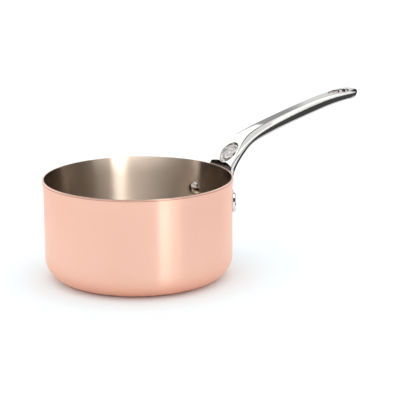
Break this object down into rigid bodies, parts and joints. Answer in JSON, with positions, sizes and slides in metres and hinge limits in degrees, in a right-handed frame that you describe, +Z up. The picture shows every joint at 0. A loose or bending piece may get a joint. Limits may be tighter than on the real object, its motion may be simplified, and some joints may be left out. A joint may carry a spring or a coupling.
{
  "type": "saucepan",
  "caption": "Copper saucepan lined with steel, straight sides with a slightly flared rim, and a long cast handle that rises from the wall and ends in a hanging eye.",
  "frame": {"origin": "middle of the flat face that the pan stands on, on the axis of the bowl", "axes": "+Z up along the axis of the bowl, +X from that axis towards the handle, +Y to the left of the handle seen from the bowl"},
  "size_m": [0.3078, 0.1642, 0.1434],
  "materials": {
    "copper": "satin-polished copper",
    "lining": "fine circular brushing",
    "base": "fine circular brushing",
    "handle": "mirror-polished cast stainless steel",
    "rivet": "polished stainless steel"
  },
  "bodies": {
    "root": {"copper_shell": "copper", "steel_lining": "lining", "base_disc": "base", "handle": "handle", "rivet_left": "rivet", "rivet_right": "rivet"}
  },
  "joints": []
}
